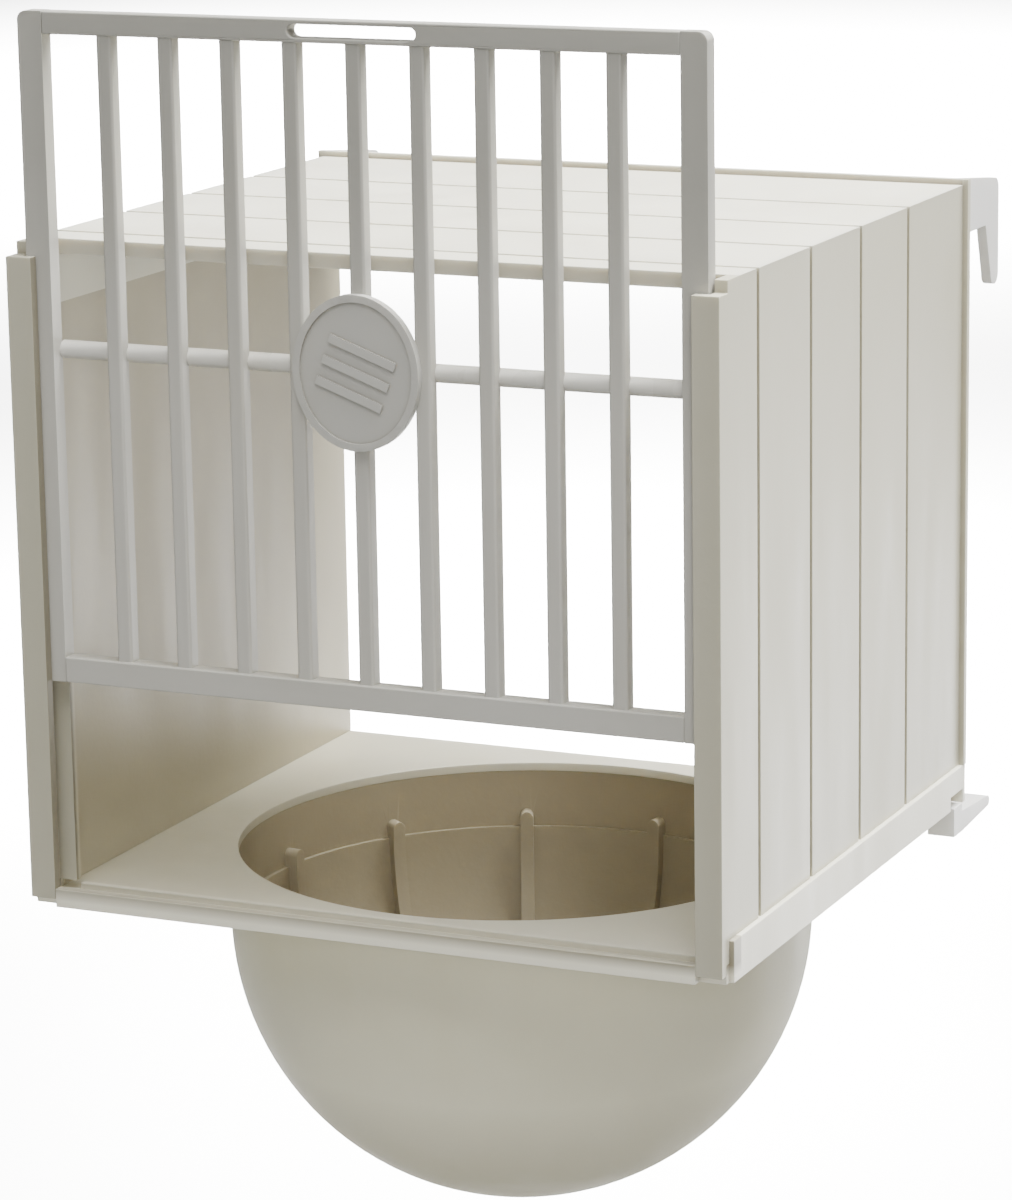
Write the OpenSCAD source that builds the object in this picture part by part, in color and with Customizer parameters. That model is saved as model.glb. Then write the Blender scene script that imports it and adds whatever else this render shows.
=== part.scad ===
// Hanging nest box for small cage birds: grooved box, round nest bowl, sliding bar grille.
// Millimetres, +Z up, the barred front faces -Y, the open back faces +Y.
// X = 0 is the middle plane, Y = 0 the open back, Z = 0 the middle of the tray floor's thickness.
// The modules draw from the front lips back and from the tray underside up; place() shifts them.

/* [Box] */
// Width over the side panels
box_w = 124; // [110:1:150]
// Depth from the front lips to the open back
box_d = 116; // [108:1:140]
// Height from the tray underside to the roof top
box_h = 111.2; // [95:0.1:140]
// Side panel thickness
wall_t = 2.2; // [1.8:0.1:2.8]
// Roof thickness
roof_t = 2.5; // [2:0.1:3.5]
// Tray floor thickness
floor_t = 1.6; // [1.2:0.1:2.2]

/* [Front channels] */
// Width of each front lip
lip_w = 4.6; // [4:0.1:6]
// Thickness of each front lip
lip_t = 1.8; // [1.4:0.1:2.4]
// Step from the roof top down to the lip tops
lip_drop = 2; // [1:0.1:4]
// Gap left open under each lip
lip_foot = 1.4; // [0.8:0.1:2.4]
// Distance from the front at which the panels reach full height
skin_front = 3.6; // [2.5:0.1:5]
// Width of the rib behind each channel
rib_w = 3.4; // [2.6:0.1:4.4]
// Thickness of the rib behind each channel
rib_t = 1.5; // [1.2:0.1:2]
// Clearance around the sliding grille
slide_gap = 0.4; // [0.2:0.1:0.7]

/* [Grooves] */
// Distance of the first groove from the front
groove_start = 16.2; // [13:0.1:22]
// Spacing of the grooves
groove_pitch = 23.3; // [18:0.1:25]
// Groove width
groove_w = 1.2; // [0.6:0.1:2]
// Groove depth
groove_depth = 0.5; // [0.3:0.1:0.8]

/* [Roof] */
// Gap between the grille rod and the roof front edge
roof_gap = 1.3; // [0.8:0.1:3]
// Drop of the roof flanges inside the side panels
flange_drop = 8.5; // [5:0.5:14]
// Thickness of the roof flanges
flange_t = 1.2; // [0.8:0.1:2]
// Height of the frame around the back edge
back_frame_h = 1; // [0.6:0.1:2]
// Thickness of the frame around the back edge
back_frame_t = 1.4; // [1:0.1:2.5]

/* [Tray] */
// Height of the front sill
sill_h = 3.2; // [2.8:0.1:4.5]
// Thickness of the front sill
sill_t = 1.6; // [1:0.1:1.8]
// Height of the bead behind the grille seat
bead_h = 1.1; // [0.6:0.1:1.6]
// Thickness of the bead behind the grille seat
bead_t = 1.4; // [1:0.1:2]
// Height of the side skirts
skirt_h = 7; // [5.5:0.1:10]
// How far the side skirts stand proud of the panels
skirt_proud = 0.8; // [0.4:0.1:1.5]
// Thickness left on each panel behind the skirt
lap_t = 1.1; // [0.8:0.1:1.4]
// Distance of the skirt ends from the front
skirt_start = 3; // [2:0.1:6]

/* [Nest bowl] */
// Outer diameter of the bowl
bowl_d = 101.2; // [85:0.1:103]
// Wall thickness of the bowl
bowl_t = 1.6; // [1.2:0.1:2.4]
// Depth of the straight upper wall
bowl_straight = 10.8; // [7:0.1:18]
// Width of the step inside the bowl
step_w = 0.8; // [0.4:0.1:1.5]
// Depth of the step below the tray underside
step_depth = 10.4; // [8:0.1:14]
// Setback of the bowl centre from the middle of the floor
bowl_shift = 0; // [-1:0.1:2]
// Number of ribs inside the bowl
bowl_ribs = 12; // [6:1:16]
// Turn of the rib pattern
rib_turn = 23; // [0:1:29]
// Width of each bowl rib
bowl_rib_w = 2.4; // [1.6:0.1:3.2]
// How far each rib stands in from the upper wall
bowl_rib_in = 2.6; // [1.8:0.1:4]
// Depth of the rib tops below the tray underside
bowl_rib_top = 7.2; // [5:0.1:10]
// Length of the ribs
bowl_rib_len = 28; // [20:1:34]

/* [Grille] */
// Height of the grille
grille_h = 110.3; // [95:0.1:130]
// How far the grille is raised above its seat
grille_raise = 36.6; // [20:0.1:60]
// Clearance under the lowered grille
seat_gap = 0.2; // [0.1:0.1:0.5]
// Width of the two stiles
stile_w = 4.4; // [3.6:0.1:6]
// Thickness of the two stiles
stile_t = 2.9; // [2.4:0.1:3.4]
// Bar width
bar_w = 2.7; // [2:0.1:3.5]
// Bar thickness
bar_t = 2.4; // [1.8:0.1:2.6]
// Rounding of the bar edges
bar_round = 0.5; // [0.3:0.1:0.8]
// Height of the top bar
top_bar_h = 3.7; // [3.2:0.1:6]
// Height of the finger slot
slot_h = 2.1; // [1.2:0.1:2.2]
// Length of the finger slot
slot_len = 22; // [14:1:30]
// Height of the bottom rail
rail_h = 4.3; // [3.5:0.1:6]
// Thickness of the bottom rail
rail_t = 3.3; // [2.6:0.1:3.5]
// Diameter of the middle rod
rod_d = 3; // [2.4:0.1:4]
// Flat cut from the middle rod where the bars meet it
rod_flat = 0.6; // [0.4:0.1:1]
// Badge width
badge_w = 22; // [18:0.5:28]
// Badge height
badge_h = 25; // [20:0.5:32]
// Badge thickness
badge_t = 1.1; // [0.8:0.1:1.4]
// Height of the relief on the badge
relief_h = 0.4; // [0.2:0.1:0.5]

/* [Hooks and clips] */
// Thickness of the upper hooks
hook_t = 1.8; // [1.4:0.1:2.6]
// Reach of the upper hooks behind the back
hook_reach = 18.7; // [14:0.1:24]
// Height of the hook arm
hook_arm_h = 9.8; // [6:0.1:12]
// Depth of the hook leg under the arm, front to back
hook_leg_d = 7.2; // [6.5:0.1:9]
// Narrowing of the hook leg towards its lower end
hook_taper = 3; // [0:0.1:3]
// Length of the hook leg below the arm
hook_drop = 11.2; // [8:0.1:18]
// Fall of the hook arm towards its corner
hook_fall = 2; // [0:0.5:3]
// Corner rounding of the hooks
hook_round = 2; // [1:0.1:2.2]
// Width of the lower clips
clip_w = 5; // [4:0.5:8]
// Reach of the lower clips behind the back
clip_reach = 14; // [8:0.1:18]
// Thickness of the clip tongue at its end
tongue_t = 1.9; // [1.2:0.1:2.4]
// Thickness of the clip tongue at its root
tongue_root_t = 3.8; // [2.6:0.1:4.6]
// Slot between the skirt and the clip tongue
clip_slot = 1.4; // [0.8:0.1:2]
// Length of the clip tongue from its root
tongue_len = 15.6; // [12:0.1:20]
// Fall of the clip tongue towards its end
tongue_fall = 1; // [0:0.1:2]
// Length of the clip root
root_len = 4.2; // [3:0.1:8]
// Height of the notch in the skirt above the clip
notch_h = 2.6; // [1.5:0.1:4]
// Length of the notch in the skirt above the clip
notch_len = 6.5; // [4:0.1:8]
// Distance of the notch from the open back
notch_inset = 1.2; // [0.8:0.1:4]

/* [Hidden] */
$fn = 72;
eps = 0.01;
bar_count = 9;
half_w = box_w / 2;
inner_x = half_w - wall_t;
skirt_x = half_w + skirt_proud;
channel_back = lip_t + 2 * slide_gap + stile_t;
rib_back = channel_back + rib_t;
lip_top = box_h - lip_drop;
stile_y = lip_t + slide_gap;
grille_mid_y = stile_y + stile_t / 2;
grille_half = inner_x - slide_gap;
grille_clear = grille_half - stile_w;
bar_pitch = 2 * grille_clear / (bar_count + 1);
bar_back = grille_mid_y + bar_t / 2;
bar_front = grille_mid_y - bar_t / 2;
rod_back = bar_back - rod_flat + rod_d;
roof_front = rod_back + roof_gap;
grille_z = floor_t + seat_gap + grille_raise;
grille_top = grille_z + grille_h;
rod_z = grille_z + grille_h / 2;
bars_z0 = grille_z + rail_h;
bars_z1 = grille_top - top_bar_h;
seat_back = grille_mid_y + rail_t / 2 + slide_gap + 0.2;
bowl_r = bowl_d / 2;
hole_r = bowl_r - bowl_t;
bowl_y = (rib_back + box_d) / 2 + bowl_shift;
step_r = hole_r - step_w;

// Block from one corner to the other.
module block(a, b) {
    translate(a)
        cube(b - a);
}

// Grooves of the outer faces, as bars that run along one axis.
module groove_set() {
    for (i = [0:3])
        translate([0, groove_start + i * groove_pitch - groove_w / 2, 0])
            children();
}

// Skin, lip, rib and back frame of the right panel before its cuts.
module panel_blank() {
    block([inner_x, lip_t - eps, floor_t], [half_w, box_d, box_h]);
    block([half_w - lip_w, 0, lip_foot], [half_w, lip_t, lip_top]);
    block([inner_x - rib_w, channel_back, floor_t], [inner_x + eps, rib_back, lip_top]);
    block([half_w - eps, box_d - back_frame_t, skirt_h],
        [half_w + back_frame_h, box_d, box_h + back_frame_h]);
    block([inner_x, box_d - back_frame_t, box_h - roof_t], [half_w + eps, box_d, box_h]);
}

module side_panel() {
    difference() {
        panel_blank();
        block([inner_x - 9, -1, lip_top], [half_w + 9, skin_front, box_h + 9]);
        block([inner_x - 9, lip_t, 0], [half_w + 9, rib_back, sill_h]);
        block([inner_x + lap_t, skirt_start, 0], [half_w + 9, box_d + 9, skirt_h]);
        translate([0, box_d + 1, 0])
            rotate([90, 0, 0])
                linear_extrude(box_d + 1 - roof_front)
                    polygon([[inner_x - 9, box_h - roof_t], [inner_x, box_h - roof_t],
                        [half_w, box_h], [half_w, box_h + 9], [inner_x - 9, box_h + 9]]);
        groove_set()
            block([half_w - groove_depth, 0, skirt_h], [half_w + 1, groove_w, box_h + 1]);
    }
}

module right_panel() {
    color("Gainsboro")
        side_panel();
}

module left_panel() {
    color("Gainsboro")
        mirror([1, 0, 0])
            side_panel();
}

module roof_panel() {
    color("WhiteSmoke")
        difference() {
            union() {
                translate([0, box_d, 0])
                    rotate([90, 0, 0])
                        linear_extrude(box_d - roof_front)
                            polygon([[-half_w, box_h], [half_w, box_h],
                                [inner_x, box_h - roof_t], [-inner_x, box_h - roof_t]]);
                for (s = [-1, 1])
                    translate([s * (inner_x - flange_t / 2), (roof_front + box_d) / 2, box_h])
                        translate([0, 0, -(roof_t + flange_drop) / 2 - eps / 2])
                            cube([flange_t, box_d - roof_front, roof_t + flange_drop - eps],
                                center = true);
                block([-half_w, box_d - back_frame_t, box_h - eps],
                    [half_w, box_d, box_h + back_frame_h]);
            }
            groove_set()
                block([-half_w - 1, 0, box_h - groove_depth], [half_w + 1, groove_w, box_h + 1]);
        }
}

module floor_tray() {
    color("Silver")
        difference() {
            union() {
                block([-half_w, lip_t, 0], [half_w, box_d, floor_t]);
                block([lip_w - half_w, 0, 0], [half_w - lip_w, lip_t + eps, floor_t]);
                block([lip_w - half_w, 0, 0], [half_w - lip_w, sill_t, sill_h]);
                for (s = [-1, 1])
                    translate([s * (half_w + inner_x) / 2, (lip_t + rib_back) / 2, sill_h / 2])
                        cube([wall_t, rib_back - lip_t, sill_h], center = true);
                block([-inner_x + rib_w + slide_gap, seat_back, 0],
                    [inner_x - rib_w - slide_gap, seat_back + bead_t, floor_t + bead_h]);
                for (s = [-1, 1])
                    translate([s * (skirt_x + inner_x + lap_t) / 2, 0, 0])
                        translate([0, (skirt_start + box_d) / 2, skirt_h / 2])
                            cube([skirt_x - inner_x - lap_t, box_d - skirt_start, skirt_h],
                                center = true);
            }
            translate([0, bowl_y, -1])
                cylinder(r = hole_r, h = floor_t + 2, $fn = 144);
            for (s = [-1, 1])
                translate([s * (skirt_x - clip_w / 4), box_d - notch_inset, -eps])
                    translate([0, -notch_len / 2, notch_h / 2])
                        cube([clip_w / 2 + eps, notch_len, notch_h], center = true);
        }
}

// Front end of the clip root, from the reach and the length of the tongue.
function clip_root_y() = box_d + clip_reach - tongue_len - root_len;

module bowl_core(wall_r, ball_r, top) {
    translate([0, 0, -bowl_straight])
        cylinder(r = wall_r, h = bowl_straight + top, $fn = 144);
    translate([0, 0, -bowl_straight])
        sphere(r = ball_r, $fn = 144);
}

module nest_bowl() {
    rib_reach = hole_r - bowl_rib_in;
    color("Tan")
        translate([0, bowl_y, 0]) {
            difference() {
                intersection() {
                    bowl_core(bowl_r, bowl_r, 0);
                    translate([0, 0, -2 * bowl_d])
                        cylinder(r = bowl_d, h = 2 * bowl_d);
                }
                translate([0, 0, -step_depth])
                    cylinder(r = hole_r, h = step_depth + 1, $fn = 144);
                bowl_core(step_r, step_r, 1);
            }
            intersection() {
                for (i = [0:bowl_ribs - 1])
                    rotate([0, 0, rib_turn + i * 360 / bowl_ribs])
                        rib_blank();
                difference() {
                    bowl_core(hole_r + eps, step_r + eps, 0);
                    bowl_core(rib_reach, rib_reach, 1);
                }
            }
        }
}

// One rib as a round-topped slab that points outwards along +X.
module rib_blank() {
    rib_z = -bowl_rib_top - bowl_rib_w / 2;
    block([step_r / 2, -bowl_rib_w / 2, rib_z - bowl_rib_len], [bowl_r, bowl_rib_w / 2, rib_z]);
    translate([step_r / 2, 0, rib_z])
        rotate([0, 90, 0])
            cylinder(d = bowl_rib_w, h = bowl_r - step_r / 2, $fn = 24);
}

// Right upper hook: sloping arm, leg and three rounded corners, each extruded along X.
module hook_plate() {
    y1 = box_d + hook_reach;
    z1 = box_h + back_frame_h;
    z0 = z1 - hook_arm_h;
    leg_y = y1 - hook_leg_d;
    tip_y = leg_y + hook_taper;
    leg_z = z0 - hook_drop;
    corner_z = z1 - hook_fall - hook_round;
    mid_y = y1 - hook_round;
    linear_extrude(hook_t)
        polygon([[box_d, z0], [box_d, z1], [mid_y, z1 - hook_fall], [mid_y, z0]]);
    linear_extrude(hook_t)
        polygon([[leg_y, z0 + eps], [leg_y, z0], [tip_y, leg_z + hook_round],
            [y1, leg_z + hook_round], [y1, corner_z], [mid_y - eps, corner_z], [mid_y - eps, z0 + eps]]);
    translate([tip_y + hook_round, leg_z, 0])
        cube([hook_leg_d - hook_taper - 2 * hook_round + eps, 2 * hook_round, hook_t]);
    translate([mid_y, corner_z, 0])
        cylinder(r = hook_round, h = hook_t, $fn = 48);
    for (y = [mid_y, tip_y + hook_round])
        translate([y, leg_z + hook_round, 0])
            cylinder(r = hook_round, h = hook_t, $fn = 48);
}

module upper_hook(s) {
    color("White")
        translate([s > 0 ? half_w - hook_t : -half_w, 0, 0])
            rotate([90, 0, 90])
                hook_plate();
}

// Root block and sloping tongue of a lower clip, seen from its side.
module clip_outline() {
    y0 = clip_root_y();
    y1 = y0 + root_len;
    y2 = y1 + tongue_len - tongue_t / 2;
    polygon([[y0, 0], [y0, -clip_slot - tongue_root_t], [y1, -clip_slot - tongue_root_t],
        [y2, -clip_slot - tongue_t - tongue_fall], [y2, -clip_slot - tongue_fall],
        [y1, -clip_slot], [y1, 0]]);
    translate([y2, -clip_slot - tongue_t / 2 - tongue_fall])
        circle(d = tongue_t, $fn = 32);
}

module lower_clip(s) {
    color("White")
        translate([s > 0 ? skirt_x - clip_w : -skirt_x, 0, 0])
            rotate([90, 0, 90])
                linear_extrude(clip_w)
                    clip_outline();
}

module grille_top_bar() {
    slot_y = grille_top - top_bar_h / 2;
    color("DarkGray")
        difference() {
            block([-grille_clear, stile_y, grille_top - top_bar_h],
                [grille_clear, stile_y + stile_t, grille_top]);
            translate([0, grille_mid_y, slot_y])
                cube([slot_len - slot_h, stile_t + 2, slot_h], center = true);
            for (s = [-1, 1])
                translate([s * (slot_len - slot_h) / 2, grille_mid_y, slot_y])
                    rotate([90, 0, 0])
                        cylinder(d = slot_h, h = stile_t + 2, center = true, $fn = 32);
        }
}

module grille_bottom_rail() {
    color("LightGray")
        block([-grille_clear, grille_mid_y - rail_t / 2, grille_z],
            [grille_clear, grille_mid_y + rail_t / 2, bars_z0]);
}

// A stile with its upper outer corner rounded off.
module grille_stile(s) {
    corner = 1.5;
    x0 = grille_clear;
    x1 = grille_half;
    color("DarkGray")
        scale([s, 1, 1])
            translate([0, stile_y + stile_t, 0])
                rotate([90, 0, 0])
                    linear_extrude(stile_t) {
                        translate([x0, grille_z])
                            square([x1 - x0, grille_h - corner]);
                        translate([x0, grille_top - corner - eps])
                            square([x1 - x0 - corner, corner + eps]);
                        translate([x1 - corner, grille_top - corner])
                            circle(r = corner, $fn = 48);
                    }
}

// Middle rod behind the bars, with a flat on the side that the bars meet.
module grille_mid_rod() {
    color("LightGray")
        difference() {
            translate([0, rod_back - rod_d / 2, rod_z])
                rotate([0, 90, 0])
                    cylinder(d = rod_d, h = 2 * grille_clear, center = true, $fn = 48);
            block([-half_w, bar_back - rod_d, rod_z - rod_d], [half_w, bar_back, rod_z + rod_d]);
        }
}

// Bar with its two front edges rounded.
module grille_bar(i) {
    bar_x = (i - (bar_count + 1) / 2) * bar_pitch;
    color("DarkGray")
        translate([bar_x, 0, bars_z0])
            linear_extrude(bars_z1 - bars_z0) {
                translate([-bar_w / 2, bar_front + bar_round])
                    square([bar_w, bar_t - bar_round]);
                translate([-bar_w / 2 + bar_round, bar_front])
                    square([bar_w - 2 * bar_round, bar_t]);
                for (x = [-bar_w / 2 + bar_round, bar_w / 2 - bar_round])
                    translate([x, bar_front + bar_round])
                        circle(r = bar_round, $fn = 32);
            }
}

module badge_disc(inset, thick) {
    rotate([90, 0, 0])
        scale([1, (badge_h - 2 * inset) / (badge_w - 2 * inset), 1])
            cylinder(d = badge_w - 2 * inset, h = thick, $fn = 96);
}

// Oval badge in front of the middle bars, with a plain rim and three leaf strokes.
module grille_badge() {
    color("DimGray")
        translate([0, bar_front, rod_z]) {
            badge_disc(0, badge_t);
            translate([0, -badge_t + eps, 0]) {
                difference() {
                    badge_disc(0, relief_h);
                    translate([0, eps, 0])
                        badge_disc(1.2, relief_h + 1);
                }
                for (k = [-1:1])
                    rotate([0, 20, 0])
                        translate([0, -relief_h / 2, k * 3.6])
                            cube([badge_w * 0.55, relief_h, 1.4], center = true);
            }
        }
}

// Moves the origin to the middle of the tray's back edge.
module place() {
    translate([0, -box_d, -floor_t / 2])
        children();
}

place() floor_tray();
place() left_panel();
place() right_panel();
place() roof_panel();
place() nest_bowl();
place() upper_hook(-1);  // upper_hook_left
place() upper_hook(1);  // upper_hook_right
place() lower_clip(-1);  // lower_clip_left
place() lower_clip(1);  // lower_clip_right
place() grille_top_bar();
place() grille_bottom_rail();
place() grille_stile(-1);  // grille_left_stile
place() grille_stile(1);  // grille_right_stile
place() grille_mid_rod();
for (i = [1:bar_count])
    place() grille_bar(i);
place() grille_badge();
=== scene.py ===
import math

import bmesh
import bpy
from mathutils import Matrix, Vector


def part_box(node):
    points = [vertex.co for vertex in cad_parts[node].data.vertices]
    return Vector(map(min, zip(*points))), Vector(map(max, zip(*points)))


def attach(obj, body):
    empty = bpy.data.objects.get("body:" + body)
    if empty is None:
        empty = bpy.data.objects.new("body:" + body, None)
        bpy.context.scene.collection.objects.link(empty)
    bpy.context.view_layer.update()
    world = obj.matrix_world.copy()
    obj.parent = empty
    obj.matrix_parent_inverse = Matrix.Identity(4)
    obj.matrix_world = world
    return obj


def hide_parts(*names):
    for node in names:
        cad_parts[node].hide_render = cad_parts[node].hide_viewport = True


# A plastic nest box on a pale floor. The CAD nodes keep their meshes and get plastics and eased
# edges, and only the middle rod is rebuilt. Lengths are in metres, or a number of millimetres
# times MM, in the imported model's own frame.
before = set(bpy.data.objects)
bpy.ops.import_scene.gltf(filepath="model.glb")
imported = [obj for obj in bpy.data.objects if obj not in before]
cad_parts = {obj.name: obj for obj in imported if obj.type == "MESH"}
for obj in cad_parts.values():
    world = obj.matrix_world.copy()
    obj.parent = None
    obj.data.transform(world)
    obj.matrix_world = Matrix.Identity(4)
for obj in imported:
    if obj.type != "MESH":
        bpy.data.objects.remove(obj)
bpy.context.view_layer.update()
MM = 0.001


# ---------------------------------------------------------------- node helpers
# The Mix node's colour sockets share their names with others, so they are found by number.
MIX_UNDER = 6
MIX_OVER = 7
MIX_RESULT = 2


class Mat:
    """A node material with a Principled shader. Its calls take and give output sockets, and
    only new gives a node."""

    def __init__(self, name):
        self.mat = bpy.data.materials.new(name)
        self.mat.use_nodes = True
        self.tree = self.mat.node_tree
        self.tree.nodes.clear()
        self.bsdf = self.new("BsdfPrincipled")
        self.link(self.bsdf.outputs["BSDF"], self.new("OutputMaterial"), "Surface")
        self.place = self.new("TexCoord").outputs["Object"]
        self.geometry = self.new("NewGeometry").outputs

    def new(self, kind, **inputs):
        node = self.tree.nodes.new("ShaderNode" + kind)
        for key, value in inputs.items():
            node.inputs[key].default_value = value
        return node

    def link(self, source, node, inp):
        self.tree.links.new(source, node.inputs[inp])

    def noise(self, scale, detail, stretch=None):
        """Noise in the object's own space, stretched along an axis where asked."""
        tex = self.new("TexNoise", Scale=scale, Detail=detail, Roughness=0.55)
        place = self.place
        if stretch:
            mapping = self.new("Mapping", Scale=stretch)
            self.link(place, mapping, "Vector")
            place = mapping.outputs["Vector"]
        self.link(place, tex, "Vector")
        return tex.outputs["Fac"]

    def axes(self, vector):
        """The X, Y and Z of a vector."""
        split = self.new("SeparateXYZ")
        self.link(vector, split, "Vector")
        return split.outputs

    def span(self, value, low, high, to_low=0.0, to_high=1.0):
        """Maps low..high of a value to to_low..to_high and clamps it."""
        node = self.new("MapRange", **{"From Min": low, "From Max": high,
                                       "To Min": to_low, "To Max": to_high})
        self.link(value, node, "Value")
        return node.outputs["Result"]

    def math(self, kind, a, b):
        """One Math node on two values, the second of which may be a number."""
        node = self.new("Math")
        node.operation = kind
        self.link(a, node, 0)
        if isinstance(b, float):
            node.inputs[1].default_value = b
        else:
            self.link(b, node, 1)
        return node.outputs["Value"]

    def mix(self, factor, under, colour):
        """Lays a colour over what is below, by a factor; under is a socket or a colour."""
        node = self.new("Mix")
        node.data_type = "RGBA"
        self.link(factor, node, 0)
        if isinstance(under, tuple):
            node.inputs[MIX_UNDER].default_value = (*under, 1)
        else:
            self.link(under, node, MIX_UNDER)
        node.inputs[MIX_OVER].default_value = (*colour, 1)
        return node.outputs[MIX_RESULT]

    def bump(self, height, strength, distance, under=None):
        """A Bump node's normal, on top of an earlier one where given."""
        node = self.new("Bump", Strength=strength, Distance=distance)
        self.link(height, node, "Height")
        if under is not None:
            self.link(under, node, "Normal")
        return node.outputs["Normal"]


def scaled(colour, *factors):
    """A colour with each channel multiplied, by one factor or by three."""
    factors = factors * 3 if len(factors) == 1 else factors
    return tuple(min(1.0, c * f) for c, f in zip(colour, factors))


# ---------------------------------------------------------------- moulded plastic
def mottled(m, colour, spread, cloud, flow):
    """A tone that drifts by spread to either side of the colour, with streaks of the melt's flow."""
    tone = m.mix(m.span(cloud, 0.3, 0.7),
                 scaled(colour, 1 - spread, 1 - 1.3 * spread, 1 - 2 * spread),
                 scaled(colour, 1 + spread, 1 + spread, 1 + 1.5 * spread))
    return m.mix(m.span(flow, 0.35, 0.65, 0.25, 0.75), tone, colour)


def shade_and_wear(m, under, colour, crease_shade, wear):
    """Corners and grooves get painted shade in uneven patches; raised edges are rubbed lighter."""
    # painted shade: darker where the surface is hollowed in
    hollow = m.new("AmbientOcclusion", Distance=2.2 * MM)
    hollow.samples = 6
    hollow.only_local = True
    deep = m.span(hollow.outputs["AO"], 0.45, 0.88, crease_shade, 0.0)
    patches = m.span(m.noise(160.0, 2.0), 0.3, 0.7, 0.7, 1.0)
    shaded_hollows = m.mix(m.math("MULTIPLY", deep, patches), under, scaled(colour, 0.42, 0.39, 0.34))
    edges = m.span(m.geometry["Pointiness"], 0.52, 0.60, 0.0, wear)
    return m.mix(edges, shaded_hollows, scaled(colour, 1.18))


def moulded(name, colour, roughness=0.42, subsurface=0.12, spread=0.07, crease_shade=0.8, wear=0.3,
            tint=None):
    """Moulded polystyrene with painted shade in its hollows; a tint paints shade or light on it from
    place to place.
    """
    m = Mat(name)
    cloud = m.noise(24.0, 3.0)
    flow = m.noise(1.0, 4.0, (90.0, 90.0, 14.0))
    base = mottled(m, colour, spread, cloud, flow)
    if tint:
        base = tint(m, base, colour)
    m.link(shade_and_wear(m, base, colour, crease_shade, wear), m.bsdf, "Base Color")
    m.link(m.span(flow, 0.3, 0.7, roughness - 0.07, roughness + 0.08), m.bsdf, "Roughness")
    grain = m.bump(m.noise(900.0, 2.0), 0.12, 0.2 * MM)
    m.link(m.bump(cloud, 0.10, 1.5 * MM, grain), m.bsdf, "Normal")
    m.bsdf.inputs["Subsurface Weight"].default_value = subsurface
    m.bsdf.inputs["Subsurface Radius"].default_value = (4.0 * MM, 3.5 * MM, 2.8 * MM)
    m.bsdf.inputs["Subsurface Scale"].default_value = 1.0
    m.bsdf.inputs["Specular IOR Level"].default_value = 0.42
    return m.mat


# ---------------------------------------------------------------- tints: painted shade and light
# A tint takes the material, the colour below it and the plastic's own colour. Where one is darker it
# is painted shade, where lighter it is painted light, and it stays in its place on the object.
def forward(m):
    """1 on faces that look forward, 0 elsewhere."""
    return m.span(m.axes(m.geometry["True Normal"])["Y"], -0.4, -0.8)


def front_shade(strength):
    """Faces that look forward are darker, by a strength from 0 to 1: painted shade."""
    def tint(m, under, colour):
        return m.mix(m.math("MULTIPLY", forward(m), strength), under,
                     scaled(colour, 0.34, 0.33, 0.32))
    return tint


def panel_shade(m, under, colour):
    """Painted shade: darker front edges, darker and yellower inner faces, and dark sides in the
    grille's channels.
    """
    channel_back = 6.0 * MM
    fade_end = 6.5 * MM
    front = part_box("left_panel")[0].y
    place = m.axes(m.place)
    outward = m.math("MULTIPLY", m.axes(m.geometry["True Normal"])["X"], place["X"])
    inner = m.span(outward, -0.02, -0.05)
    channel = m.span(place["Y"], front + fade_end, front + channel_back, 0.0, 0.95)
    fronts = front_shade(0.26)(m, under, colour)
    # painted shade on the inner faces, which makes them darker and yellower
    inner_shaded = m.mix(m.math("MULTIPLY", inner, 0.8), fronts, scaled(colour, 0.88, 0.82, 0.72))
    # painted shade on the inner sides of the grille's channels
    return m.mix(m.math("MULTIPLY", inner, channel), inner_shaded, scaled(colour, 0.24, 0.22, 0.19))


def tray_light_and_shade(m, under, colour):
    """Painted light on the sill front, painted shade on the floor towards its left, and a dark seat
    for the grille, also painted shade.
    """
    seat_back = 5.9 * MM
    seat_fade_end = 6.2 * MM
    seat_low = 1.2 * MM
    seat_high = 2.9 * MM
    floor_start = 6.0 * MM
    floor_full = 8.0 * MM
    left_end = -50 * MM
    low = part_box("floor_tray")[0]
    place = m.axes(m.place)
    # painted light: the sill's forward faces are lighter
    sill = m.mix(forward(m), under, scaled(colour, 1.18))
    # painted shade on the floor towards its left
    left = m.span(place["X"], 0.0, left_end, 0.0, 0.35)
    behind = m.span(place["Y"], low.y + floor_start, low.y + floor_full)
    floor = m.mix(m.math("MULTIPLY", left, behind), sill, scaled(colour, 0.48, 0.46, 0.36))
    # painted shade in the grille's seat
    near = m.span(place["Y"], low.y + seat_fade_end, low.y + seat_back)
    high = m.span(place["Z"], low.z + seat_low, low.z + seat_high, 0.0, 0.95)
    return m.mix(m.math("MULTIPLY", near, high), floor, scaled(colour, 0.26, 0.24, 0.20))


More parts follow.
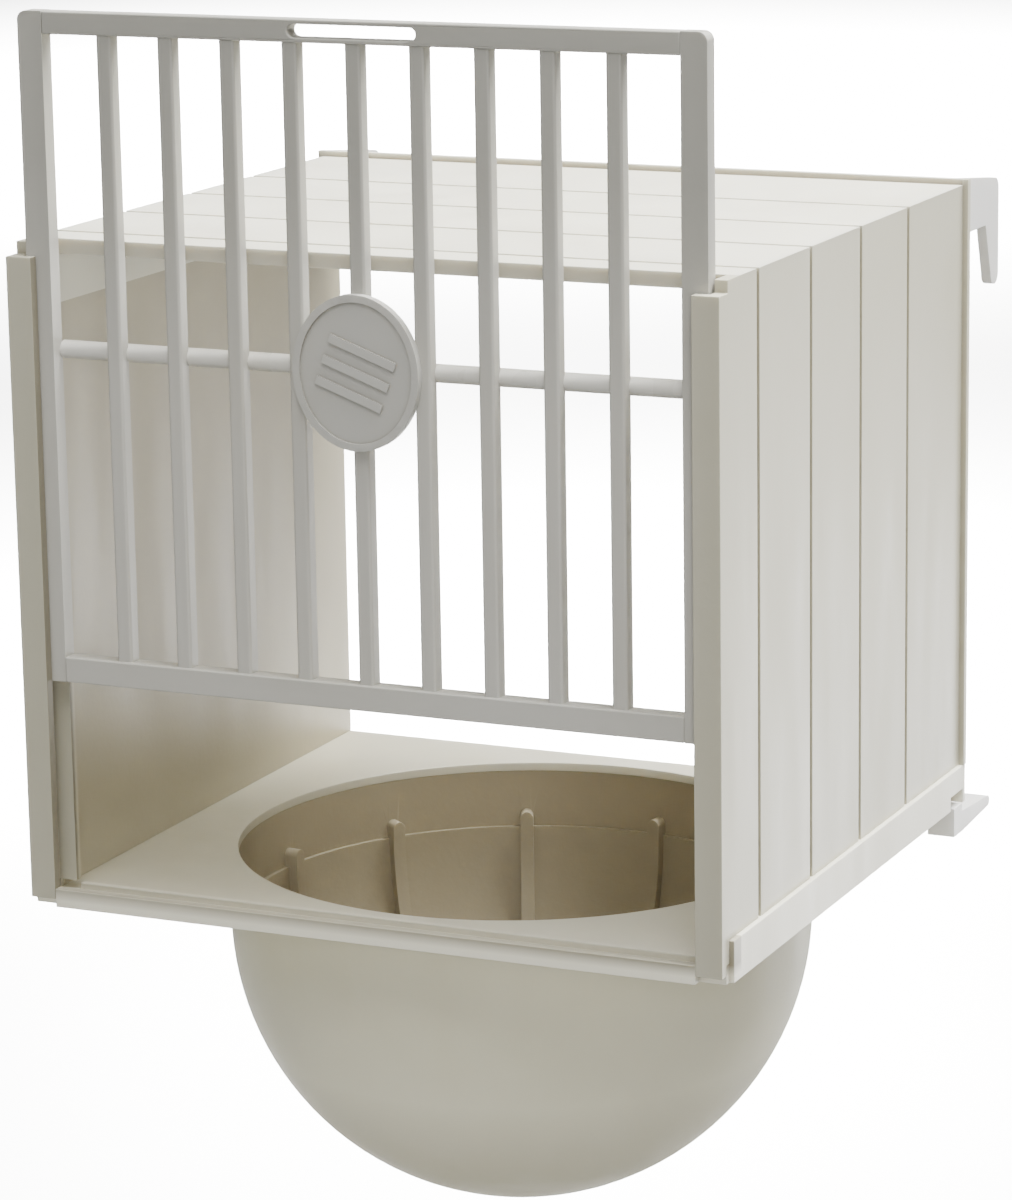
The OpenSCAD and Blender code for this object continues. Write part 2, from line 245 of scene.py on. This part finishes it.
def bowl_shade(m, under, colour):
    """The bowl has painted shade inside, darker and browner, and painted shade that darkens it
    towards its bottom outside.
    """
    inner_shade_start = 0.4 * MM
    inner_shade_full = 1.2 * MM
    low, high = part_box("nest_bowl")
    radius = (high.x - low.x) / 2
    shift = m.new("VectorMath")
    shift.operation = "SUBTRACT"
    m.link(m.place, shift, 0)
    shift.inputs[1].default_value = ((low.x + high.x) / 2, (low.y + high.y) / 2, low.z + radius)
    axes = m.axes(shift.outputs["Vector"])
    # reach is measured from the ball's centre, or above it from the upright line through it
    below = m.new("CombineXYZ")
    m.link(axes["X"], below, "X")
    m.link(axes["Y"], below, "Y")
    m.link(m.math("MINIMUM", axes["Z"], 0.0), below, "Z")
    reach = m.new("VectorMath")
    reach.operation = "LENGTH"
    m.link(below.outputs["Vector"], reach, 0)
    # painted shade, darker and browner, on the bowl's inner surface
    inside = m.span(reach.outputs["Value"], radius - inner_shade_start, radius - inner_shade_full)
    # painted shade towards the bottom outside
    bottom = m.span(axes["Z"], -0.42 * radius, -0.78 * radius)
    foot = m.mix(bottom, under, scaled(colour, 0.52, 0.50, 0.43))
    return m.mix(m.math("MULTIPLY", inside, 0.85), foot, scaled(colour, 0.40, 0.345, 0.29))


def grille_top_shade(m, under, colour):
    """The grille is darker towards its top: painted shade."""
    start = 85 * MM
    full = 125 * MM
    high = m.span(m.axes(m.place)["Z"], start, full, 0.0, 0.75)
    return m.mix(high, under, scaled(colour, 0.62, 0.62, 0.61))


SHELL = moulded("panel_plastic", (0.47, 0.45, 0.35), tint=panel_shade)
# The roof's colour is lighter than the walls', as painted light on its top and flanges; its forward
# faces get painted shade.
ROOF = moulded("roof_plastic", (0.66, 0.64, 0.53), subsurface=0.3, tint=front_shade(0.9))
TRAY = moulded("tray_plastic", (0.68, 0.655, 0.535), tint=tray_light_and_shade)
BOWL = moulded("bowl_plastic", (0.71, 0.68, 0.51), roughness=0.55, crease_shade=0.4, wear=0.0,
               tint=bowl_shade)
GRILLE = moulded("grille_plastic", (0.43, 0.42, 0.375), subsurface=0.04, tint=grille_top_shade)
FITTING = moulded("fitting_plastic", (0.66, 0.65, 0.62), spread=0.05)
# The rod is lighter than the grille's plastic, as painted light on it, and glossier.
ROD = moulded("lit_rod_plastic", (0.56, 0.55, 0.50), roughness=0.30, subsurface=0.04)
BADGE = moulded("badge_plastic", (0.41, 0.405, 0.37), subsurface=0.04)


# ---------------------------------------------------------------- pieces
def add_object(name, data):
    o = bpy.data.objects.new(name, data)
    bpy.context.scene.collection.objects.link(o)
    return o


def soften(name, mat, width=0.25):
    """Gives a CAD node its material and edges eased by width mm; its mesh stays as packed."""
    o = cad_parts[name]
    for slot in o.material_slots:
        slot.material = mat
    weld = o.modifiers.new("weld", "WELD")
    weld.merge_threshold = 0.002 * MM
    edges = o.modifiers.new("edges", "BEVEL")
    edges.width = width * MM
    edges.segments = 3
    edges.limit_method = "ANGLE"
    edges.angle_limit = math.radians(32)
    edges.use_clamp_overlap = True
    flat = o.modifiers.new("flat_faces", "WEIGHTED_NORMAL")
    flat.weight = 100
    o.data.shade_smooth()


def round_rod():
    """The middle rod as a full round bar whose front runs into the backs of the bars."""
    low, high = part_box("grille_mid_rod")
    radius = (high.z - low.z) / 2
    bm = bmesh.new()
    bmesh.ops.create_cone(bm, cap_ends=True, segments=48, radius1=radius, radius2=radius,
                          depth=high.x - low.x)
    bmesh.ops.rotate(bm, verts=bm.verts, matrix=Matrix.Rotation(math.pi / 2, 3, "Y"))
    bmesh.ops.translate(bm, verts=bm.verts, vec=(0, high.y - radius, (low.z + high.z) / 2))
    me = bpy.data.meshes.new("grille_round_rod")
    bm.to_mesh(me)
    bm.free()
    rod = add_object("grille_round_rod", me)
    me.materials.append(ROD)
    me.shade_smooth()
    me.set_sharp_from_angle(angle=math.radians(40))
    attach(rod, "grille")
    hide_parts("grille_mid_rod")


soften("left_panel", SHELL)
soften("right_panel", SHELL)
soften("roof_panel", ROOF)
soften("floor_tray", TRAY)
round_rod()
soften("nest_bowl", BOWL, 0.3)
for side in ("left", "right"):
    soften("upper_hook_" + side, FITTING, 0.35)
    soften("lower_clip_" + side, FITTING, 0.35)
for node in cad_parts:
    if node == "grille_badge":
        soften(node, BADGE, 0.12)
    elif node.startswith("grille_") and node != "grille_mid_rod":
        soften(node, GRILLE, 0.3)


# ---------------------------------------------------------------- floor and lights
FLOOR_Z = -0.45
CENTRE = Vector((0, -0.06, 0.04))
WHITE = (1, 1, 1, 1)
FLOOR_PAINT = (0.80, 0.80, 0.79, 1)


def add_floor(reach=9.0):
    """A square floor that goes this far to each side."""
    me = bpy.data.meshes.new("pale_floor")
    me.from_pydata([(-reach, -reach, FLOOR_Z), (reach, -reach, FLOOR_Z), (reach, reach, FLOOR_Z),
                    (-reach, reach, FLOOR_Z)], [], [(0, 1, 2, 3)])
    m = Mat("floor_paint")
    m.bsdf.inputs["Base Color"].default_value = FLOOR_PAINT
    m.bsdf.inputs["Roughness"].default_value = 0.9
    me.materials.append(m.mat)
    add_object("pale_floor", me)


def add_world(strength):
    """Even white light from all around."""
    world = bpy.data.worlds.new("studio")
    bpy.context.scene.world = world
    world.use_nodes = True
    background = world.node_tree.nodes["Background"]
    background.inputs["Color"].default_value = WHITE
    background.inputs["Strength"].default_value = strength


def area(name, place, target, size, power, spread):
    """Square area light, unseen by the camera itself; its spread is in degrees."""
    light = bpy.data.lights.new(name, "AREA")
    light.size = size
    light.energy = power
    light.spread = math.radians(spread)
    o = add_object(name, light)
    o.location = place
    o.rotation_euler = (Vector(target) - Vector(place)).to_track_quat("-Z", "Y").to_euler()
    o.visible_camera = False


def lamp(name, direction, distance, size, power, spread):
    """Area light in a direction from the object's middle, aimed at it."""
    place = CENTRE + Vector(direction).normalized() * distance
    area(name, place, CENTRE, size, power, spread)


def floor_light(name, x, y, height, size, power, spread):
    """Area light that shines straight down on the floor behind the object."""
    area(name, (x, y, height), (x, y, FLOOR_Z), size, power, spread)


add_floor()
add_world(0.28)
lamp("key", (0.42, 0.06, 0.90), 0.7, 0.4, 3.2, 70)
lamp("top", (0.15, -0.50, 0.85), 0.9, 0.5, 1.1, 70)
lamp("front", (0.50, -1.0, 0.22), 1.2, 0.4, 0.62, 60)
lamp("rear", (0.20, 0.36, 0.90), 0.8, 0.3, 1.4, 60)
lamp("sweep", (0.50, 1.0, -0.40), 0.8, 0.3, 0.35, 60)
floor_light("back_edge", -0.38, 0.85, 0.25, 0.7, 22.0, 60)
floor_light("back_near", -0.75, 1.75, 0.9, 1.1, 150.0, 70)
floor_light("back_far", -1.9, 4.3, 1.6, 2.4, 700.0, 80)


# ---------------------------------------------------------------- camera
CAMERA_PLACE = (0.306854, -0.731923, 0.216204)
CAMERA_RIGHT = Vector((0.916667, 0.399458, -0.012467))
CAMERA_UP = Vector((-0.078686, 0.210973, 0.974320))
SENSOR_MM = 36.0
LENS_MM = 133.38


def add_camera():
    """A long lens with a small shift, which looks opposite to its right crossed with its up."""
    cam = bpy.data.cameras.new("camera")
    cam.sensor_width = SENSOR_MM
    cam.sensor_fit = "AUTO"
    cam.lens = LENS_MM
    cam.shift_x = -0.05078
    cam.shift_y = -0.00815
    cam.clip_start = 0.05
    camera = add_object("camera", cam)
    back = CAMERA_RIGHT.cross(CAMERA_UP)
    turn = Matrix((CAMERA_RIGHT, CAMERA_UP, back)).transposed().to_4x4()
    camera.matrix_world = Matrix.Translation(CAMERA_PLACE) @ turn
    bpy.context.scene.camera = camera


add_camera()
